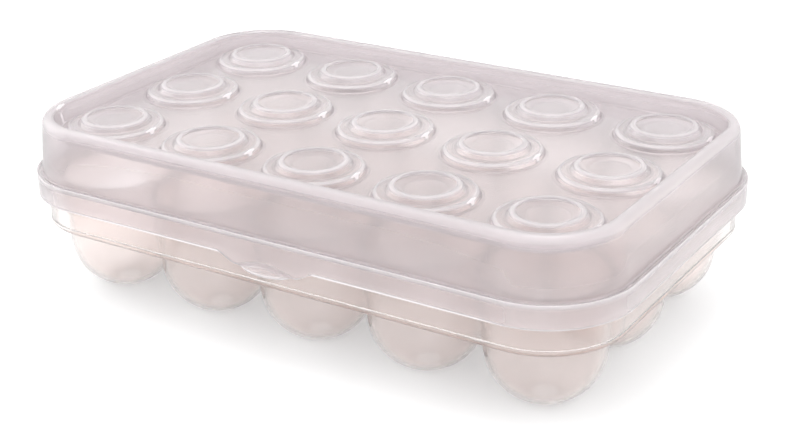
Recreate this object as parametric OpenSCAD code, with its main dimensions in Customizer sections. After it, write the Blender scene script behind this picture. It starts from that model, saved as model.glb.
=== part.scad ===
// Flip-lid keeper: a thin moulded tray of round cups under a hinged, stackable lid.
// Frame: +X along the long side, -Y is the front with the thumb tab, +Z up.
// The origin is on the flat foot of the middle cup, level with what the keeper stands on.

/* [Cups] */
// Number of cups along the long side
cup_columns = 5; // [3:2:7]
// Number of cups along the short side
cup_rows = 3; // [3:2:5]
// Distance from one cup centre to the next
cup_pitch = 46; // [45:0.5:52]
// Outer radius of the round bowl at the bottom of a cup
cup_bowl_r = 21.1; // [19.5:0.1:21.6]
// Outer radius of a cup where it meets the deck
cup_mouth_r = 22.6; // [21.8:0.1:22.8]
// Radius of the flat foot under a cup
cup_foot_r = 6.4; // [4:0.1:10]
// Rounding of the edge where a cup opens in the deck
cup_edge_r = 1; // [0.3:0.1:1.1]

/* [Tray] */
// Height of the deck above the surface the keeper stands on
deck_z = 46.9; // [40:0.1:52]
// Wall of the tray: cups, deck and skirt
tray_wall = 1.2; // [0.9:0.1:1.6]
// How far the corner centres lie inside the outermost cup centres
corner_inset = 1; // [0:0.5:4]
// Corner radius of the tray at its deck
tray_corner_r = 30.2; // [28:0.1:36]
// Height of the tray's skirt below the deck
tray_skirt_h = 18.1; // [12:0.1:24]
// Draft of the tray's skirt, in degrees
tray_draft = 4.7; // [1:0.1:6]
// Diameter of the bead along the skirt's lower edge
tray_bead_d = 1.9; // [1.6:0.1:3]

/* [Lid] */
// Wall of the lid
lid_wall_t = 1.3; // [1:0.1:1.6]
// Gap all round between the tray's deck edge and the lid's skirt
lid_gap = 1; // [0.8:0.1:2]
// Height of the ledge's underside above the deck
lid_seat_gap = 0.3; // [0.2:0.1:0.6]
// Height of the lid's outer skirt
lid_skirt_h = 8.7; // [6:0.1:10]
// Width of the ledge between the skirt and the lid's wall
lid_ledge_w = 2.2; // [1.6:0.1:4]
// Height of the rim's crest above the ledge
lid_rise = 21.4; // [16:0.1:30]
// Flare of the lid's wall, in degrees
lid_flare = 5.3; // [1:0.1:8]
// Outer rounding between the lid's wall and the rim's crest
lid_edge_r = 3; // [2.2:0.1:4]
// Inner rounding between the rim's crest and the stacking recess
lid_crest_r = 1.85; // [1.7:0.05:2.5]
// Depth of the stacking recess below the rim's crest
lid_recess = 6.8; // [5.6:0.1:9]
// Slope of the recess wall, in degrees from upright
lid_recess_slope = 15; // [5:1:25]

/* [Bosses in the lid] */
// Radius of a boss where it meets the panel
boss_r = 19.1; // [17.5:0.1:20]
// Height of a boss's ledge above the panel
boss_ledge_h = 2.3; // [1.9:0.1:2.6]
// Radius at which the boss's seat rises from the ledge
boss_seat_r = 14.2; // [12.5:0.1:15]
// Height of the seat's crest above the panel
boss_seat_h = 4.4; // [4.3:0.1:5.2]
// Depth of the dish inside the seat's crest
boss_dish = 1.3; // [0.6:0.1:1.8]
// Radius of the curve between the dish's floor and its crest
boss_dish_curve = 5; // [3:0.5:6]

/* [Thumb tab] */
// Length of the thumb tab along the front
tab_l = 41; // [38:1:60]
// Depth of the thumb tab below the skirt's lower edge
tab_drop = 3; // [2.4:0.1:4]
// Length of the S-curve at each end of the tab
tab_end = 8; // [4:0.5:8]
// Length of the thumb lip along the tab's lower edge
tab_lip_l = 21; // [14:1:22]
// Reach of the thumb lip out from the skirt
tab_reach = 3; // [2:0.1:4]
// Distance of the top of the thumb lip below the skirt's lower edge
tab_lip_from = 1; // [0.5:0.1:1.2]

/* [Hinge] */
// Number of cup pitches between the middle of the tray and each hinge
hinge_at = 1.5; // [0.5:0.5:1.5]
// Distance of the hinge axis behind the lid's skirt
hinge_out = 0.8; // [0.6:0.1:1.2]
// Distance of the hinge axis below the lid's skirt
hinge_drop = 3.9; // [3.7:0.1:4.6]
// Radius of the moulded hinge pins
pin_r = 1.6; // [1.2:0.05:1.9]
// Running clearance between pin and bore
pin_clearance = 0.05; // [0.02:0.01:0.09]
// How far a pin reaches into the knuckle
pin_grip = 4; // [2:0.5:6]
// Outer radius of the lid's knuckles
knuckle_r = 3.1; // [2.8:0.05:3.3]
// Length of a knuckle along the axis
knuckle_l = 14; // [13:0.5:24]
// Thickness of each hinge ear on the tray
ear_t = 2.2; // [1.6:0.1:3]
// Side gap between an ear and the knuckle
ear_gap = 0.4; // [0.3:0.05:0.8]
// Radius of the round end of a hinge ear
ear_r = 2.9; // [2.4:0.1:3]
// Angle at which the open lid comes to rest on the ears
lid_open = 110; // [95:1:120]
// Gap left at that stop
stop_gap = 0.3; // [0.3:0.1:0.5]

/* [Hidden] */
$fn = 96;
tray_colour = [0.90, 0.85, 0.86, 0.75];
lid_colour = [0.93, 0.88, 0.89, 0.70];

// The corner centres, shared by every outline of the tray and the lid
corner_x = (cup_columns - 1) * cup_pitch / 2 - corner_inset;
corner_y = (cup_rows - 1) * cup_pitch / 2 - corner_inset;

// The sphere of the bowl stands so high that its cut leaves the flat foot
bowl_z = sqrt(pow(cup_bowl_r, 2) - pow(cup_foot_r, 2));
// Where the cups' part of the deck ends and the rim begins
deck_r = cup_pitch / 2 + 2 * corner_inset;
tray_bottom_z = deck_z - tray_skirt_h;

// Heights of the lid, from the seat on the tray upwards
ledge_z = deck_z + lid_seat_gap + lid_wall_t;
skirt_z = ledge_z - lid_skirt_h;
crest_z = ledge_z + lid_rise;
panel_z = crest_z - lid_recess;
// Corner radii of the lid's outlines
skirt_in_r = tray_corner_r + lid_gap;
skirt_out_r = skirt_in_r + lid_wall_t;
wall_out_r = skirt_out_r - lid_ledge_w;
crest_mid_r = wall_out_r - (lid_rise - lid_edge_r) * tan(lid_flare) - lid_edge_r;
recess_foot_r = crest_mid_r - lid_crest_r - (lid_recess - lid_crest_r) * tan(lid_recess_slope);
panel_r = recess_foot_r - 0.6 * lid_wall_t;

// Hinge axis, as a distance from the corner centres and a height
axis_r = skirt_out_r + hinge_out;
axis_z = skirt_z - hinge_drop;
hinge_x = hinge_at * cup_pitch;
// The web of an ear starts this far below the axis, and its nose reaches past the skirt's edge
ear_foot = 5;
nose_t = 2.4;
nose_past = 1.3;
// Thickness of a knuckle's root on the skirt, and the angles at which its web meets the barrel
knuckle_rib = 1.5;
knuckle_back_a = 15;
knuckle_front_a = 40;
// Roundings in the middle of the bosses' wall, and how far the outer sides of its steps turn up
boss_round = 1;
boss_fillet = 0.9;
boss_foot_turn = 30;
boss_seat_turn = 45;

cup_names = [for (i = [1 : cup_columns * cup_rows]) str("cup_", i < 10 ? "0" : "", i)];
tray_names = ["tray_rim", "hinge_ears_left", "hinge_ears_right"];
lid_names = ["lid_wall", "lid_panel", "thumb_tab", "hinge_knuckle_left", "hinge_knuckle_right"];

// A wall of even thickness follows a path of bends. A bend is [x, z, radius, n0, n1]: its centre,
// its radius (negative where the path bends to the left), and the direction of the wall's left
// side before and after it. A radius of 0 is a plain end, or a sharp corner with a mitre.
function bend_steps(b) = max(2, ceil(abs(b[4] - b[3]) / 15), ceil(abs((b[4] - b[3]) * b[2]) / 180));
function bend_side(b, d) = b[2] == 0
    ? [bend_point(b, d / cos((b[4] - b[3]) / 2), (b[3] + b[4]) / 2)]
    : [for (i = [0 : bend_steps(b)]) bend_point(b, b[2] + d, b[3] + (b[4] - b[3]) * i / bend_steps(b))];
function bend_point(b, r, a) = [b[0] + r * cos(a), b[1] + r * sin(a)];
function wall_side(path, d) = [for (b = path) each bend_side(b, d)];
function reversed(v) = [for (i = [len(v) - 1 : -1 : 0]) v[i]];
function wall_outline(path, t) = concat(wall_side(path, -t / 2), reversed(wall_side(path, t / 2)));

// A rounded rectangle about the corner centres
module outline(r) {
    square([2 * (corner_x + r), 2 * corner_y], center = true);
    square([2 * corner_x, 2 * (corner_y + r)], center = true);
    for (x = [-1, 1], y = [-1, 1]) {
        translate([x * corner_x, y * corner_y]) circle(r);
    }
}

// Sweeps a profile, drawn as distance from the corner centres and height, all round the keeper
module all_round() {
    for (side = [-1, 1]) {
        rotate([0, 0, side < 0 ? 180 : 0]) {
            translate([-corner_x, corner_y, 0])
                rotate([90, 0, 90]) linear_extrude(2 * corner_x) children();
            translate([corner_x, corner_y, 0])
                rotate([90, 0, 0]) linear_extrude(2 * corner_y) children();
            translate([corner_x, corner_y, 0]) rotate_extrude(angle = 90) children();
            translate([-corner_x, corner_y, 0])
                rotate([0, 0, 90]) rotate_extrude(angle = 90) children();
        }
    }
}

// Extrudes a profile, drawn in the same way, across the back from x0 over a length l
module at_back(x0, l) {
    translate([x0, corner_y, 0]) rotate([90, 0, 90]) linear_extrude(l) children();
}

// Centre of cup i, counted from the front left along each row
function cup_x(i) = ((i - 1) % cup_columns - (cup_columns - 1) / 2) * cup_pitch;
function cup_y(i) = (floor((i - 1) / cup_columns) - (cup_rows - 1) / 2) * cup_pitch;

// Square of deck that belongs to a cup; at the tray's edge it runs out to the rim
module cup_deck(i) {
    reach = cup_pitch / 2;
    west = cup_x(i) < -corner_x ? -corner_x - deck_r : cup_x(i) - reach;
    east = cup_x(i) > corner_x ? corner_x + deck_r : cup_x(i) + reach;
    south = cup_y(i) < -corner_y ? -corner_y - deck_r : cup_y(i) - reach;
    north = cup_y(i) > corner_y ? corner_y + deck_r : cup_y(i) + reach;
    translate([0, 0, deck_z - tray_wall]) linear_extrude(tray_wall) intersection() {
        outline(deck_r);
        translate([west, south]) square([east - west, north - south]);
    }
}

// Round bowl with a drafted wall above it; shrink gives the inside of the same cup
module cup_body(shrink, floor_z, top) {
    intersection() {
        translate([0, 0, bowl_z]) sphere(cup_bowl_r - shrink);
        translate([0, 0, floor_z]) cylinder(r = cup_pitch, h = bowl_z - floor_z);
    }
    translate([0, 0, bowl_z])
        cylinder(r1 = cup_bowl_r - shrink, r2 = cup_mouth_r - shrink, h = top - bowl_z);
}

// Rounded edge of a cup's mouth, as a cutter
module cup_edge() {
    mouth = cup_mouth_r - tray_wall;
    translate([0, 0, deck_z - cup_edge_r]) rotate_extrude() difference() {
        square([mouth + cup_edge_r, 2 * cup_edge_r]);
        translate([mouth + cup_edge_r, 0]) circle(cup_edge_r);
    }
}

// One cup with its square of deck
module cup(i) {
    color(tray_colour) difference() {
        union() {
            cup_deck(i);
            translate([cup_x(i), cup_y(i), 0]) cup_body(0, 0, deck_z - tray_wall / 2);
        }
        translate([cup_x(i), cup_y(i), 0]) cup_body(tray_wall, tray_wall, deck_z);
        translate([cup_x(i), cup_y(i), 0]) cup_edge();
    }
}

// Outer face of the tray's skirt at height z, as a distance from the corner centres
function tray_face(z) = tray_corner_r - (deck_z - z) * tan(tray_draft);

// Edge of the deck, turned down into the drafted skirt with its beaded lower edge
module tray_rim() {
    half = tray_wall / 2;
    bead_z = tray_bottom_z + tray_bead_d / 2;
    deck_mid = deck_z - half;
    path = [
        [deck_r, deck_mid, 0, 90, 90],
        [tray_face(deck_mid) - half / cos(tray_draft), deck_mid, 0, 90, -tray_draft],
        [tray_face(bead_z) - half / cos(tray_draft), bead_z, 0, -tray_draft, -tray_draft],
    ];
    color(tray_colour) all_round() polygon(wall_outline(path, tray_wall));
    color(tray_colour) all_round() translate([path[2][0], bead_z]) circle(d = tray_bead_d);
}

// Profile of a hinge ear: a web from the skirt, a round end, and the nose that stops the lid
module ear_profile() {
    top_z = axis_z + ear_r;
    foot_z = axis_z - ear_foot;
    polygon([
        [tray_face(foot_z), foot_z],
        [axis_r, axis_z - ear_r],
        [axis_r, top_z],
        [tray_face(top_z), top_z],
    ]);
    translate([axis_r, axis_z]) circle(ear_r);
    translate([axis_r, axis_z]) rotate(90 - lid_open)
        translate([0, hinge_out - stop_gap - nose_t]) square([hinge_drop + nose_past, nose_t]);
}

// Pair of ears on the back of the skirt, with the two pins that point at each other
module hinge_ears(x) {
    inner = knuckle_l / 2 + ear_gap;
    color(tray_colour) for (side = [-1, 1]) {
        at_back(side < 0 ? x - inner - ear_t : x + inner, ear_t) ear_profile();
        at_back(side < 0 ? x - inner : x + inner - ear_gap - pin_grip, ear_gap + pin_grip)
            translate([axis_r, axis_z]) circle(pin_r);
    }
}

// Bends of the lid's section, from the panel over the rim and down to the skirt's lower edge
function lid_path(half) = [
    [panel_r, panel_z - half, 0, 90, 90],
    [recess_foot_r + half, panel_z - half, 0, 90, 180 - lid_recess_slope],
    [crest_mid_r, crest_z - lid_crest_r, lid_crest_r - half, 180 - lid_recess_slope, 90],
    [crest_mid_r, crest_z - lid_edge_r, lid_edge_r - half, 90, lid_flare],
    [wall_out_r - half, ledge_z - half, 0, lid_flare, 90],
    [skirt_out_r - half, ledge_z - half, 0, 90, 0],
    [skirt_out_r - half, skirt_z, 0, 0, 0],
];

// Wall of the lid: stacking rim, flared wall, ledge and skirt
module lid_wall() {
    color(lid_colour) all_round() polygon(wall_outline(lid_path(lid_wall_t / 2), lid_wall_t));
}

// Distance across a step of height h, from the centre of its rounding to that of the fillet below
function step_run(h, turn) = let (bends = boss_round + boss_fillet)
    bends * cos(turn) + (h - bends + bends * sin(turn)) * tan(turn);

// Bends of a boss, from the middle of its dish out to the panel
function boss_path(half) =
    let (foot_z = panel_z - half,
         step_z = foot_z + boss_ledge_h,
         seat_z = foot_z + boss_seat_h,
         floor_z = seat_z - boss_dish,
         crest_r = boss_seat_r - step_run(boss_seat_h - boss_ledge_h, boss_seat_turn),
         bends = boss_round + boss_dish_curve,
         dish_turn = acos(1 - boss_dish / bends),
         edge_r = boss_r - step_run(boss_ledge_h, boss_foot_turn))
    [
        [0, floor_z, 0, 90, 90],
        [crest_r - bends * sin(dish_turn), floor_z + boss_dish_curve, -boss_dish_curve, 90, 90 + dish_turn],
        [crest_r, seat_z - boss_round, boss_round, 90 + dish_turn, boss_seat_turn],
        [boss_seat_r, step_z + boss_fillet, -boss_fillet, boss_seat_turn, 90],
        [edge_r, step_z - boss_round, boss_round, 90, boss_foot_turn],
        [boss_r, foot_z + boss_fillet, -boss_fillet, boss_foot_turn, 90],
    ];

// Solid of revolution on or under the boss's wall, down to the height z0
module boss_solid(d, z0) {
    edge = wall_side(boss_path(lid_wall_t / 2), d);
    rotate_extrude() polygon(concat([[0, z0]], edge, [[edge[len(edge) - 1][0], z0]]));
}

// Panel of the lid, with a stepped and dished boss over every cup
module lid_panel() {
    color(lid_colour) difference() {
        union() {
            translate([0, 0, panel_z - lid_wall_t]) linear_extrude(lid_wall_t) outline(panel_r);
            for (i = [1 : cup_columns * cup_rows]) {
                translate([cup_x(i), cup_y(i), 0]) boss_solid(lid_wall_t / 2, panel_z - lid_wall_t / 2);
            }
        }
        for (i = [1 : cup_columns * cup_rows]) {
            translate([cup_x(i), cup_y(i), 0]) boss_solid(-lid_wall_t / 2, panel_z - 2 * lid_wall_t);
        }
    }
}

// Cone from which the thumb lip is cut; its wall turns inwards by the given amount
module tab_cone(inwards) {
    lip_r = (pow(tab_lip_l / 2, 2) + pow(tab_reach, 2)) / (2 * tab_reach);
    lip_h = tab_drop - tab_lip_from;
    translate([0, lip_r - tab_reach - corner_y - skirt_out_r, skirt_z - tab_drop - lip_h])
        cylinder(r1 = lip_r + tab_reach - inwards, r2 = lip_r - tab_reach - inwards, h = 2 * lip_h);
}

// Tab that hangs from the skirt's lower edge at the front, with a thumb lip drawn out of it
module thumb_tab() {
    steps = 10;
    front_y = -corner_y - skirt_out_r;
    lip_turn = atan(tab_reach / (tab_drop - tab_lip_from));
    s_curve = [for (i = [0 : steps]) [tab_end * i / steps, -tab_drop * (1 - cos(180 * i / steps)) / 2]];
    edge = concat(
        [for (p = s_curve) [p[0] - tab_l / 2, p[1]]],
        [for (p = reversed(s_curve)) [tab_l / 2 - p[0], p[1]]]
    );
    color(lid_colour) difference() {
        union() {
            translate([0, front_y + lid_wall_t, skirt_z]) rotate([90, 0, 0])
                linear_extrude(lid_wall_t) polygon(edge);
            intersection() {
                tab_cone(0);
                translate([-tab_l / 2, front_y - 2 * tab_reach, skirt_z - tab_drop])
                    cube([tab_l, 2 * tab_reach + lid_wall_t / 2, tab_drop]);
            }
        }
        tab_cone(lid_wall_t / cos(lip_turn));
    }
}

// Point on the barrel of a knuckle, in the profile
function on_knuckle(a) = [axis_r + knuckle_r * cos(a), axis_z + knuckle_r * sin(a)];

// Knuckle on the back of the lid's skirt, bored for the tray's pins
module hinge_knuckle(x) {
    color(lid_colour) difference() {
        union() {
            at_back(x - knuckle_l / 2, knuckle_l) translate([axis_r, axis_z]) circle(knuckle_r);
            at_back(x - knuckle_l / 2, knuckle_l) polygon([
                [skirt_out_r, ledge_z - lid_wall_t],
                [skirt_out_r + knuckle_rib, ledge_z - 2 * lid_wall_t],
                on_knuckle(knuckle_back_a),
                [axis_r, axis_z],
                on_knuckle(180 - knuckle_front_a),
                [skirt_out_r - lid_wall_t / 2, skirt_z],
                [skirt_out_r, skirt_z],
            ]);
        }
        at_back(x - knuckle_l, 2 * knuckle_l)
            translate([axis_r, axis_z]) circle(pin_r + pin_clearance);
    }
}

for (i = [1 : cup_columns * cup_rows]) {
    cup(i);
}
tray_rim();
hinge_ears(-hinge_x);  // hinge_ears_left
hinge_ears(hinge_x);  // hinge_ears_right
lid_wall();
lid_panel();
thumb_tab();
hinge_knuckle(-hinge_x);  // hinge_knuckle_left
hinge_knuckle(hinge_x);  // hinge_knuckle_right
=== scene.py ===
import math

import bmesh
import bpy
from mathutils import Matrix, Vector


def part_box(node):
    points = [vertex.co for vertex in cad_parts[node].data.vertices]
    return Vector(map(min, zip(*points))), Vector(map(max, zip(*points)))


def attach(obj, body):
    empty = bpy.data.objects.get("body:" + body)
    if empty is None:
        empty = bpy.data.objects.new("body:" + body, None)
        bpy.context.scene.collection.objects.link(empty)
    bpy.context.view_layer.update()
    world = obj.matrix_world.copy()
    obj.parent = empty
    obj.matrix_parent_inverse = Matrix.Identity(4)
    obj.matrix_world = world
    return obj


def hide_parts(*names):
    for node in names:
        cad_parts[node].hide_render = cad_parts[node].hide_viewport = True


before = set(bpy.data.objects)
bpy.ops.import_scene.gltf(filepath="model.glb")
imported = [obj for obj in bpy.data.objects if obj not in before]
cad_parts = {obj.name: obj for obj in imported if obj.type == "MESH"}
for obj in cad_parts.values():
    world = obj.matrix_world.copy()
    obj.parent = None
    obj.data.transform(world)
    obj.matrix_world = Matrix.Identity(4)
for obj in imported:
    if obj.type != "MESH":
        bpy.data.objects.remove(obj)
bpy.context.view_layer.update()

# Tray: one thin injection moulding in translucent polypropylene. A flat deck joins fifteen round
# cups, and turns down at its edge into a short drafted skirt with a bead along the lower edge.
# It is modelled as its upper skin, and the moulded wall is given to it at the end.
MM = 0.001
TRAY_WALL = 1.2 * MM
CUP_PITCH = 46 * MM
CUP_COLUMNS, CUP_ROWS = 5, 3
CORNER_X = (CUP_COLUMNS - 1) / 2 * CUP_PITCH - 1 * MM
CORNER_Y = (CUP_ROWS - 1) / 2 * CUP_PITCH - 1 * MM
DECK_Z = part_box("tray_rim")[1].z
TRAY_FOOT_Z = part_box("tray_rim")[0].z
TRAY_EDGE_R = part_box("tray_rim")[1].x - CORNER_X
TRAY_DRAFT = math.radians(4.7)
BEAD_H = 1.8 * MM
# Points nearer to each other than this are one
WELD = 0.002 * MM


def start_mesh(name, add, **settings):
    """Adds and names a primitive, and goes into edit mode with all of it selected."""
    bpy.ops.object.select_all(action="DESELECT")
    add(**settings)
    bpy.ops.object.transform_apply(location=True, rotation=True, scale=True)
    piece = bpy.context.object
    piece.name = piece.data.name = name
    bpy.ops.object.mode_set(mode="EDIT")
    bpy.ops.mesh.select_mode(type="VERT")
    bpy.ops.mesh.select_all(action="SELECT")
    return piece


def pick(what, wanted):
    """In edit mode, selects only the vertices, edges or faces for which wanted is true."""
    bpy.ops.mesh.select_mode(type={"verts": "VERT", "edges": "EDGE", "faces": "FACE"}[what])
    bpy.ops.mesh.select_all(action="DESELECT")
    mesh = bmesh.from_edit_mesh(bpy.context.object.data)
    for part in getattr(mesh, what):
        if wanted(part):
            part.select_set(True)
    mesh.select_flush_mode()
    bmesh.update_edit_mesh(bpy.context.object.data)


def at_height(z, tolerance=0.02 * MM):
    """A test for edges that lie level at height z."""
    return lambda edge: all(abs(v.co.z - z) < tolerance for v in edge.verts)


def inset_along(profile):
    """Insets the selected face through the points of a profile, each a distance from the middle and a height."""
    for (r0, z0), (r1, z1) in zip(profile, profile[1:]):
        bpy.ops.mesh.inset(thickness=r0 - r1, depth=z1 - z0, use_even_offset=True)


def arc(r, z, radius, start, end, steps):
    """Points of a round stretch of profile about (r, z), with its angles in degrees."""
    turn = [math.radians(start + (end - start) * i / steps) for i in range(steps + 1)]
    return [(r + radius * math.cos(a), z + radius * math.sin(a)) for a in turn]


def round_outline(name, r, z):
    """Starts a mesh as a level rounded rectangle, at distance r from the keeper's corner centres."""
    piece = start_mesh(name, bpy.ops.mesh.primitive_plane_add, size=2, location=(0, 0, z))
    bpy.ops.transform.resize(value=(CORNER_X + r, CORNER_Y + r, 1), center_override=(0, 0, z))
    bpy.ops.mesh.bevel(offset=r, offset_type="OFFSET", segments=20, affect="VERTICES", clamp_overlap=False)
    pick("faces", lambda face: True)
    return piece


def repeat_over_cups(pattern):
    """Copies a piece, each with its own mesh, to every cup, and returns all of them."""
    copies = []
    for row in range(CUP_ROWS):
        for column in range(CUP_COLUMNS):
            bpy.ops.object.select_all(action="DESELECT")
            pattern.select_set(True)
            bpy.context.view_layer.objects.active = pattern
            bpy.ops.object.duplicate()
            bpy.ops.transform.translate(value=((column - (CUP_COLUMNS - 1) / 2) * CUP_PITCH,
                                               (row - (CUP_ROWS - 1) / 2) * CUP_PITCH, 0))
            bpy.ops.object.transform_apply(location=True, rotation=True, scale=True)
            copies.append(bpy.context.object)
    bpy.data.objects.remove(pattern)
    return copies


def join_level(piece, copies, z):
    """Joins the copies to a piece, and fills the level face between their round edges and its own."""
    bpy.ops.object.select_all(action="DESELECT")
    for copy in copies:
        copy.select_set(True)
    piece.select_set(True)
    bpy.context.view_layer.objects.active = piece
    bpy.ops.object.join()
    bpy.ops.object.mode_set(mode="EDIT")
    level = at_height(z)
    pick("edges", lambda edge: level(edge) and len(edge.link_faces) < 2)
    bpy.ops.mesh.fill(use_beauty=True)
    bpy.ops.mesh.select_all(action="SELECT")
    bpy.ops.mesh.remove_doubles(threshold=WELD)
    bpy.ops.mesh.normals_make_consistent(inside=False)
    bpy.ops.object.mode_set(mode="OBJECT")


def apply_modifier(piece, kind, **settings):
    """Adds a modifier with its settings to a piece and applies it."""
    bpy.ops.object.select_all(action="DESELECT")
    piece.select_set(True)
    bpy.context.view_layer.objects.active = piece
    modifier = piece.modifiers.new(kind.lower(), kind)
    for name, value in settings.items():
        setattr(modifier, name, value)
    bpy.ops.object.modifier_apply(modifier=modifier.name)


def round_edges(piece, width, angle, smooth):
    """Rounds every edge sharper than an angle, then smooths the piece and keeps its flat faces flat."""
    apply_modifier(piece, "BEVEL", width=width, segments=3, limit_method="ANGLE", angle_limit=math.radians(angle))
    bpy.ops.object.shade_smooth_by_angle(angle=math.radians(smooth))
    apply_modifier(piece, "WEIGHTED_NORMAL", keep_sharp=True)


def linear(hex_colour):
    """Turns an sRGB hex value to linear RGBA."""
    channels = [int(hex_colour[i:i + 2], 16) / 255 for i in (1, 3, 5)]
    return [c / 12.92 if c <= 0.04045 else ((c + 0.055) / 1.055) ** 2.4 for c in channels] + [1]


def add_node(tree, kind, links=(), **settings):
    """Adds a node with its properties and sockets; links gives a socket a value or an output."""
    node = tree.nodes.new(kind)
    for name, value in settings.items():
        if hasattr(node, name):
            setattr(node, name, value)
        else:
            node.inputs[name.replace("_", " ")].default_value = value
    for socket, source in dict(links).items():
        if isinstance(source, bpy.types.NodeSocket):
            tree.links.new(source, node.inputs[socket])
        else:
            node.inputs[socket].default_value = source
    return node


def polypropylene(name, colour, roughness, clear, edges, grain):
    """Moulded polypropylene that lets light through, with uneven flow and the grain of its mould.

    Where edges is less than clear, bent places let less light through than flat ones, as the
    thicker plastic of an edge does. It is read from the mesh, so a coarse piece is milky all over.
    """
    flow_mm, flow_spread = 16, 0.03
    grain_mm, grain_depth_mm = 0.5, 0.05
    flat_bend, edge_bend = 0.502, 0.54
    material = bpy.data.materials.new(name)
    material.use_nodes = True
    tree = material.node_tree
    shader = tree.nodes["Principled BSDF"]
    shader.inputs["Base Color"].default_value = linear(colour)
    shader.inputs["IOR"].default_value = 1.49
    shader.inputs["Transmission Weight"].default_value = clear
    if edges < clear:
        bend = add_node(tree, "ShaderNodeNewGeometry").outputs["Pointiness"]
        milk = add_node(tree, "ShaderNodeMapRange", {"Value": bend}, From_Min=flat_bend,
                        From_Max=edge_bend, To_Min=clear, To_Max=edges)
        tree.links.new(milk.outputs["Result"], shader.inputs["Transmission Weight"])
    place = add_node(tree, "ShaderNodeTexCoord").outputs["Object"]
    flow = add_node(tree, "ShaderNodeTexNoise", {"Vector": place}, Scale=1 / (flow_mm * MM), Detail=2.0)
    rough = add_node(tree, "ShaderNodeMapRange", {"Value": flow.outputs["Fac"]},
                     To_Min=roughness - flow_spread, To_Max=roughness + flow_spread)
    tree.links.new(rough.outputs["Result"], shader.inputs["Roughness"])
    speck = add_node(tree, "ShaderNodeTexNoise", {"Vector": place}, Scale=1 / (grain_mm * MM), Detail=1.0)
    bump = add_node(tree, "ShaderNodeBump", {"Height": speck.outputs["Fac"]},
                    Strength=grain, Distance=grain_depth_mm * MM)
    tree.links.new(bump.outputs["Normal"], shader.inputs["Normal"])
    return material


def dress(piece, material):
    """Gives a piece one material all over."""
    piece.data.materials.clear()
    piece.data.materials.append(material)


tray = round_outline("tray", TRAY_EDGE_R, DECK_Z)
skirt_h = DECK_Z - TRAY_FOOT_Z
foot_r = TRAY_EDGE_R - skirt_h * math.tan(TRAY_DRAFT)
bead_top_r = TRAY_EDGE_R - (skirt_h - BEAD_H) * math.tan(TRAY_DRAFT)
# Rings of the bead: each a share of its height from the foot, and how far it swells
bead_rings = [(0.85, 0.20 * MM), (0.65, 0.33 * MM), (0.45, 0.35 * MM), (0.25, 0.27 * MM)]
inset_along([(TRAY_EDGE_R, DECK_Z), (bead_top_r, TRAY_FOOT_Z + BEAD_H)]
            + [(foot_r + share * (bead_top_r - foot_r), TRAY_FOOT_Z + share * BEAD_H)
               for share, swell in bead_rings]
            + [(foot_r, TRAY_FOOT_Z)])
bpy.ops.mesh.delete(type="ONLY_FACE")
bpy.ops.object.mode_set(mode="OBJECT")

# A cup's inside: a soft mouth, a steep upper wall, a round bowl and a flat foot
CUP_OUTSIDE_R = 21.1 * MM
CUP_FOOT_R = 6.4 * MM
CUP_BOWL_R = CUP_OUTSIDE_R - TRAY_WALL
CUP_MOUTH_R = 22.6 * MM - TRAY_WALL
CUP_EDGE_R = 1.25 * MM
BOWL_Z = math.sqrt(CUP_OUTSIDE_R ** 2 - CUP_FOOT_R ** 2)
FLOOR_RINGS = 5.2 * MM, 4.4 * MM
FLOOR_LEAD_IN, FLOOR_LEAD_UP, FLOOR_LEAD_TURN = 0.35 * MM, 0.1 * MM, 3
floor_turn = math.degrees(math.asin((BOWL_Z - TRAY_WALL) / CUP_BOWL_R))
mouth_draft = math.degrees(math.atan((CUP_MOUTH_R - CUP_BOWL_R) / (DECK_Z - BOWL_Z)))
cup = start_mesh("cup", bpy.ops.mesh.primitive_circle_add, vertices=72, radius=CUP_MOUTH_R + CUP_EDGE_R,
                 fill_type="NGON", location=(0, 0, DECK_Z))
pick("faces", lambda face: True)
cup_profile = arc(CUP_MOUTH_R + CUP_EDGE_R, DECK_Z - CUP_EDGE_R, CUP_EDGE_R, 90, 180 - mouth_draft, 6)
cup_profile += arc(0, BOWL_Z, CUP_BOWL_R, -mouth_draft, -floor_turn + FLOOR_LEAD_TURN, 18)
cup_profile += [(cup_profile[-1][0] - FLOOR_LEAD_IN, TRAY_WALL + FLOOR_LEAD_UP)]
cup_profile += [(ring_r, TRAY_WALL) for ring_r in FLOOR_RINGS]
inset_along(cup_profile)
bpy.ops.object.mode_set(mode="OBJECT")
join_level(tray, repeat_over_cups(cup), DECK_Z)

apply_modifier(tray, "SOLIDIFY", thickness=TRAY_WALL, offset=-1, use_even_offset=True)
bpy.ops.object.mode_set(mode="EDIT")
# The inner skin's ring stands a little higher than the outer one's, and both swell
RING_BELOW, RING_ABOVE = -0.03 * MM, 0.13 * MM
for share, swell in bead_rings:
    ring_z = TRAY_FOOT_Z + share * BEAD_H
    pick("verts", lambda v: RING_BELOW < v.co.z - ring_z < RING_ABOVE)
    bpy.ops.transform.shrink_fatten(value=swell, use_even_offset=True)
bpy.ops.object.mode_set(mode="OBJECT")
round_edges(tray, width=0.25 * MM, angle=55, smooth=40)
# The tray's skin is nearly polished, so it is the clearer of the two mouldings
tray_plastic = polypropylene("translucent moulded polypropylene", "#FFF9F7", roughness=0.15,
                             clear=0.95, edges=0.95, grain=0.05)
dress(tray, tray_plastic)
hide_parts("tray_rim", *[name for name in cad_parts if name.startswith("cup_")])
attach(tray, "tray")

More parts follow.
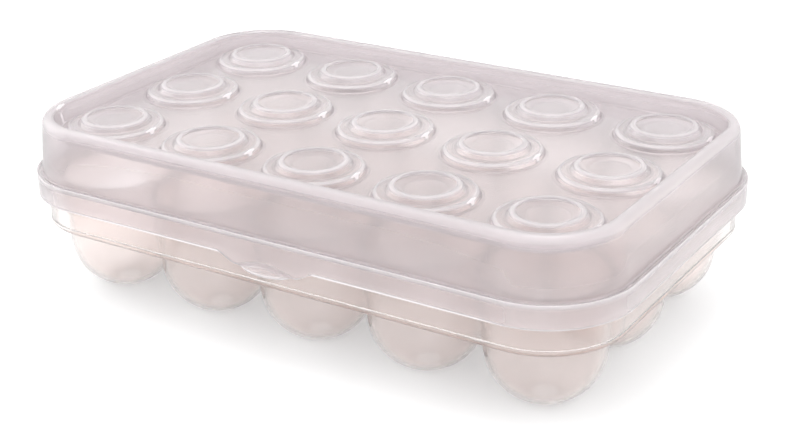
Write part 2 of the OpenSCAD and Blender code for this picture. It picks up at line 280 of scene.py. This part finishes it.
# Lid: one injection moulding in frosted polypropylene. A raised rim runs round a recessed panel so
# that keepers stack, the flared wall steps out over a ledge into the skirt, and a stepped, dished
# boss stands over every cup. The thumb tab is drawn out of the skirt's lower edge at the front.
LID_WALL = 1.3 * MM
SKIRT_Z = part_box("lid_wall")[0].z
CREST_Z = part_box("lid_wall")[1].z
SKIRT_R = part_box("lid_wall")[1].x - CORNER_X
LEDGE_Z = SKIRT_Z + 8.7 * MM
LEDGE_W = 2.2 * MM
LEDGE_FILLET = 0.4 * MM
FLARE = math.radians(5.3)
EDGE_R = 3 * MM
CREST_R = 1.85 * MM
RECESS = 6.8 * MM
RECESS_SLOPE = 15
RECESS_FILLET = 0.5 * MM
PANEL_Z = CREST_Z - RECESS

lid = round_outline("lid", SKIRT_R, SKIRT_Z)

# The tab hangs from the skirt's lower edge in two S-curves, and a thumb lip is drawn out of its middle
TAB_HALF = 20.5 * MM
TAB_END = 8 * MM
TAB_DROP = 3 * MM
TAB_REACH = 3 * MM
TAB_LIP_FROM = 1 * MM
TAB_LIP_HALF = 10.5 * MM
TAB_LIP_R = (TAB_LIP_HALF ** 2 + TAB_REACH ** 2) / (2 * TAB_REACH)
TAB_LIP_SOFT = 0.5 * MM
# A row this near the tab's lower edge ends on it, and a tab lower than the second is none
TAB_SNAP, TAB_LEAST = 0.1 * MM, 0.12 * MM
TAB_ROWS = 9
ROW_GAP = 1 * MM
COLUMN_NEAR = 0.1 * MM


def tab_point(x, row):
    """Reach and depth of a point of the tab, at x along it and a row down; rows end on its lower edge."""
    along = min(1, max(0, (TAB_HALF - abs(x)) / TAB_END))
    edge = TAB_DROP * (1 - math.cos(math.pi * along)) / 2
    depth = row / TAB_ROWS * TAB_DROP
    if depth > edge - TAB_SNAP:
        depth = edge if edge > TAB_LEAST else 0
    cone_r = TAB_LIP_R - TAB_REACH + (depth - TAB_LIP_FROM) * TAB_REACH / (TAB_DROP - TAB_LIP_FROM)
    swell = math.sqrt(max(0, cone_r ** 2 - x ** 2)) - (TAB_LIP_R - TAB_REACH)
    lip = (swell + math.sqrt(swell ** 2 + TAB_LIP_SOFT ** 2)) / 2
    return lip * min(1, depth / TAB_LIP_FROM), depth


def on_front(width):
    """A test for edges along the front of the skirt, within a width about the middle."""
    front_y = -CORNER_Y - 0.9999 * SKIRT_R
    return lambda edge: all(v.co.y < front_y and abs(v.co.x) < width / 2 for v in edge.verts)


pick("edges", on_front(3 * CORNER_X))
bpy.ops.mesh.subdivide(number_cuts=7)
pick("edges", on_front(3 * TAB_HALF))
bpy.ops.mesh.subdivide(number_cuts=35)
pick("edges", on_front(3 * TAB_HALF))
for row in range(TAB_ROWS):
    bpy.ops.mesh.extrude_edges_move(TRANSFORM_OT_translate={"value": (0, 0, -ROW_GAP)})
columns = sorted({v.co.x for v in bmesh.from_edit_mesh(lid.data).verts if v.co.z < SKIRT_Z - ROW_GAP / 2})
for x in columns:
    for row in range(1, TAB_ROWS + 1):
        out, depth = tab_point(x, row)
        pick("verts", lambda v: (abs(v.co.x - x) < COLUMN_NEAR
                                 and abs(v.co.z - SKIRT_Z + row * ROW_GAP) < ROW_GAP / 4))
        bpy.ops.transform.translate(value=(0, -out, row * ROW_GAP - depth))
bpy.ops.mesh.select_all(action="SELECT")
bpy.ops.mesh.remove_doubles(threshold=0.004 * MM)
pick("faces", lambda face: len(face.verts) > 4)

wall_r = SKIRT_R - LEDGE_W
crest_mid_r = wall_r - (CREST_Z - LEDGE_Z - EDGE_R) * math.tan(FLARE) - EDGE_R
recess_r = crest_mid_r - CREST_R - (RECESS - CREST_R) * math.tan(math.radians(RECESS_SLOPE))
# Rings near the edges keep the milky look of an edge off the faces beside it. Under the ledge they
# stay lower than the wall is thick, or the inner skin would fold at the ledge's corner.
RINGS_OVER_SKIRT, RINGS_UNDER_LEDGE, RINGS_UNDER_CREST = (0, 0.6, 1.2), (2.2, 1.6, 0), (2, 1)
lid_profile = [(SKIRT_R, SKIRT_Z + up * MM) for up in RINGS_OVER_SKIRT]
lid_profile += [(SKIRT_R, LEDGE_Z - down * MM) for down in RINGS_UNDER_LEDGE]
lid_profile += arc(wall_r + LEDGE_FILLET, LEDGE_Z + LEDGE_FILLET, LEDGE_FILLET, 270, 185, 4)
crest_arc = arc(crest_mid_r, CREST_Z - EDGE_R, EDGE_R, math.degrees(FLARE), 90, 10)
lid_profile += [(crest_arc[0][0] + down * MM * math.tan(FLARE), crest_arc[0][1] - down * MM)
                for down in RINGS_UNDER_CREST]
lid_profile += crest_arc
lid_profile += arc(crest_mid_r, CREST_Z - CREST_R, CREST_R, 90, 180 - RECESS_SLOPE, 8)[1:]
lid_profile += arc(recess_r - RECESS_FILLET, PANEL_Z + RECESS_FILLET, RECESS_FILLET, -RECESS_SLOPE, -90, 5)
lid_profile += [(recess_r - RECESS_FILLET - 0.2 * MM, PANEL_Z)]
inset_along(lid_profile)
bpy.ops.mesh.delete(type="ONLY_FACE")
bpy.ops.object.mode_set(mode="OBJECT")

# A boss steps up from the panel to a ledge and on to a seat, and the seat's crest rings a shallow
# dish. The radii and turns between its steps are those of the arcs' common tangents in the CAD part.
BOSS_MARGIN = 1 * MM
DISH_RINGS = 4 * MM, 1 * MM
BOSS_FOOT_R, BOSS_LEDGE_R, BOSS_SEAT_R = 19.1 * MM, 16.68 * MM, 14.2 * MM
BOSS_CREST_R, BOSS_FLOOR_R = 11.31 * MM, 7.58 * MM
BOSS_LEDGE_Z, BOSS_SEAT_Z = PANEL_Z + 2.3 * MM, PANEL_Z + 4.4 * MM
BOSS_DISH_Z = BOSS_SEAT_Z - 1.3 * MM
BOSS_ROUND, BOSS_FILLET, DISH_CURVE = 1.65 * MM, 0.25 * MM, 4.35 * MM
FOOT_TURN, SEAT_TURN, DISH_TURN = 30, 45, 38.4
boss_profile = [(BOSS_FOOT_R + BOSS_MARGIN, PANEL_Z)]
boss_profile += arc(BOSS_FOOT_R, PANEL_Z + BOSS_FILLET, BOSS_FILLET, 270, 180 + FOOT_TURN, 3)
boss_profile += arc(BOSS_LEDGE_R, BOSS_LEDGE_Z - BOSS_ROUND, BOSS_ROUND, FOOT_TURN, 90, 6)
boss_profile += arc(BOSS_SEAT_R, BOSS_LEDGE_Z + BOSS_FILLET, BOSS_FILLET, 270, 180 + SEAT_TURN, 3)
boss_profile += arc(BOSS_CREST_R, BOSS_SEAT_Z - BOSS_ROUND, BOSS_ROUND, SEAT_TURN, 90 + DISH_TURN, 8)
boss_profile += arc(BOSS_FLOOR_R, BOSS_DISH_Z + DISH_CURVE, DISH_CURVE, 270 + DISH_TURN, 270, 6)[1:]
boss_profile += [(ring_r, BOSS_DISH_Z) for ring_r in DISH_RINGS]
boss = start_mesh("boss", bpy.ops.mesh.primitive_circle_add, vertices=72,
                  radius=BOSS_FOOT_R + BOSS_MARGIN, fill_type="NGON", location=(0, 0, PANEL_Z))
pick("faces", lambda face: True)
inset_along(boss_profile)
bpy.ops.mesh.poke()
bpy.ops.object.mode_set(mode="OBJECT")
join_level(lid, repeat_over_cups(boss), PANEL_Z)

apply_modifier(lid, "SOLIDIFY", thickness=LID_WALL, offset=-1, use_even_offset=True)
round_edges(lid, width=0.3 * MM, angle=55, smooth=40)
# The lid's mould is etched, so the lid blurs what is behind it. Its edges look milkier than its
# faces, which draws the bright lines along its rim, ledge and bosses.
lid_plastic = polypropylene("frosted moulded polypropylene", "#FEF8FA", roughness=0.2, clear=0.8,
                            edges=0.1, grain=0.1)
dress(lid, lid_plastic)
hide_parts("lid_wall", "lid_panel", "thumb_tab")
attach(lid, "lid")

# Hinges: two at the back, moulded with the tray and the lid. Each is a pair of ears that stand out
# from the tray's skirt with a pin on each, and a knuckle under the lid's edge that turns on the pins.
for name in [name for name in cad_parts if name.startswith("hinge_")]:
    part, side = name.rsplit("_", 1)
    bpy.ops.object.select_all(action="DESELECT")
    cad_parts[name].select_set(True)
    bpy.context.view_layer.objects.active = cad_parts[name]
    bpy.ops.object.duplicate()
    hinge_piece = bpy.context.object
    hinge_piece.name = hinge_piece.data.name = f"{side}_{part}"
    bpy.ops.object.mode_set(mode="EDIT")
    bpy.ops.mesh.select_all(action="SELECT")
    bpy.ops.mesh.remove_doubles(threshold=WELD)
    bpy.ops.mesh.dissolve_limited(angle_limit=math.radians(1))
    bpy.ops.object.mode_set(mode="OBJECT")
    round_edges(hinge_piece, width=0.2 * MM, angle=40, smooth=40)
    on_tray = part == "hinge_ears"
    dress(hinge_piece, tray_plastic if on_tray else lid_plastic)
    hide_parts(name)
    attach(hinge_piece, "tray" if on_tray else "lid")

# Studio: a plain white floor and backdrop under large soft lamps, as in a catalogue picture. The
# paper looks white by itself. Seen through the plastic, the paper under the keeper has a painted glow
# that lightens its shadow, and the glow fades out beyond it, so the open lid doesn't clip against paper that is
# lit anyway.
AROUND, SEEN_THROUGH = 1.12, 0.98
FLOOR_SIZE = 12
# The paper's even whiteness for the eye, and the strength of the painted glow under the keeper seen through the
# plastic
FLOOR_ALONE, PAINTED_GLOW_THROUGH = 0.42, 0.5
# Distances from the middle where the painted glow starts to fade and where it is gone
GLOW_FROM, GLOW_TO = 0.14, 0.24


def strength_by_ray(tree, light, through, straight):
    """One strength for light on the keeper, one through or in the plastic, one for the eye itself."""
    ray = add_node(tree, "ShaderNodeLightPath")
    plastic = add_node(tree, "ShaderNodeMath", {0: ray.outputs["Is Transmission Ray"],
                                                1: ray.outputs["Is Glossy Ray"]}, operation="MAXIMUM")
    unseen = add_node(tree, "ShaderNodeMapRange", {"Value": plastic.outputs[0], "To Max": through},
                      To_Min=light)
    return add_node(tree, "ShaderNodeMapRange", {"Value": ray.outputs["Is Camera Ray"],
                                                 "To Min": unseen.outputs[0]}, To_Max=straight).outputs[0]


bpy.ops.object.select_all(action="DESELECT")
bpy.ops.mesh.primitive_plane_add(size=FLOOR_SIZE, location=(0, 0, 0))
floor = bpy.context.object
floor.name = "floor"
paper = bpy.data.materials.new("white studio paper")
paper.use_nodes = True
tree = paper.node_tree
tree.nodes.clear()
lit = add_node(tree, "ShaderNodeBsdfDiffuse", Color=linear("#E7E7E7"))
spot = add_node(tree, "ShaderNodeTexCoord").outputs["Object"]
away = add_node(tree, "ShaderNodeVectorMath", {0: spot}, operation="LENGTH")
# Painted glow: the paper under the keeper glows for rays through the plastic, which lightens the keeper's shadow
# there
glow_under_keeper = add_node(tree, "ShaderNodeMapRange", {"Value": away.outputs["Value"]}, From_Min=GLOW_FROM,
                  From_Max=GLOW_TO, To_Min=PAINTED_GLOW_THROUGH, To_Max=0)
painted_glow = add_node(tree, "ShaderNodeEmission",
                {"Strength": strength_by_ray(tree, 0, glow_under_keeper.outputs["Result"], FLOOR_ALONE)})
both = add_node(tree, "ShaderNodeAddShader", {0: lit.outputs[0], 1: painted_glow.outputs[0]})
add_node(tree, "ShaderNodeOutputMaterial", {"Surface": both.outputs[0]})
dress(floor, paper)

world = bpy.data.worlds.new("studio")
bpy.context.scene.world = world
world.use_nodes = True
tree = world.node_tree
tree.nodes.clear()
sky = add_node(tree, "ShaderNodeBackground",
               {"Strength": strength_by_ray(tree, AROUND, SEEN_THROUGH, 1)}, Color=(1, 1, 1, 1))
add_node(tree, "ShaderNodeOutputWorld", {"Surface": sky.outputs[0]})


def softbox(name, size, place, target, power):
    """A large square lamp at a place, turned to a target."""
    data = bpy.data.lights.new(name, "AREA")
    data.size, data.energy = size, power
    lamp = bpy.data.objects.new(name, data)
    bpy.context.scene.collection.objects.link(lamp)
    lamp.location = place
    lamp.rotation_euler = (Vector(target) - Vector(place)).to_track_quat("-Z", "Y").to_euler()


KEEPER_MIDDLE = (0, 0, 0.03)
softbox("key softbox", size=0.5, place=(0.1, -0.15, 0.95), target=KEEPER_MIDDLE, power=1.2)
softbox("rim softbox", size=0.6, place=(-0.75, -0.1, 0.5), target=KEEPER_MIDDLE, power=1.2)

# Camera: the photograph's own view, with no lens shift
CAMERA_PLACE = Vector((0.30423, -0.46225, 0.26619))
CAMERA_AHEAD = Vector((-0.49782815, 0.77086402, -0.39741137))
CAMERA_UP = Vector((-0.19724391, 0.34558708, 0.9174227))
camera_data = bpy.data.cameras.new("camera")
camera_data.sensor_width = 36
camera_data.lens = 70.98
camera_data.clip_start = 0.01
camera = bpy.data.objects.new("camera", camera_data)
bpy.context.scene.collection.objects.link(camera)
right = CAMERA_AHEAD.cross(CAMERA_UP)
camera_turn = Matrix((right, CAMERA_UP, -CAMERA_AHEAD)).transposed()
camera.matrix_world = Matrix.Translation(CAMERA_PLACE) @ camera_turn.to_4x4()
bpy.context.scene.camera = camera
bpy.context.scene.view_settings.view_transform = "Standard"
# Light has to get through many thin walls, so its paths may be longer than Cycles' default
bpy.context.scene.cycles.max_bounces = 48
bpy.context.scene.cycles.transmission_bounces = 48
bpy.context.scene.cycles.glossy_bounces = 16
bpy.context.scene.cycles.diffuse_bounces = 8
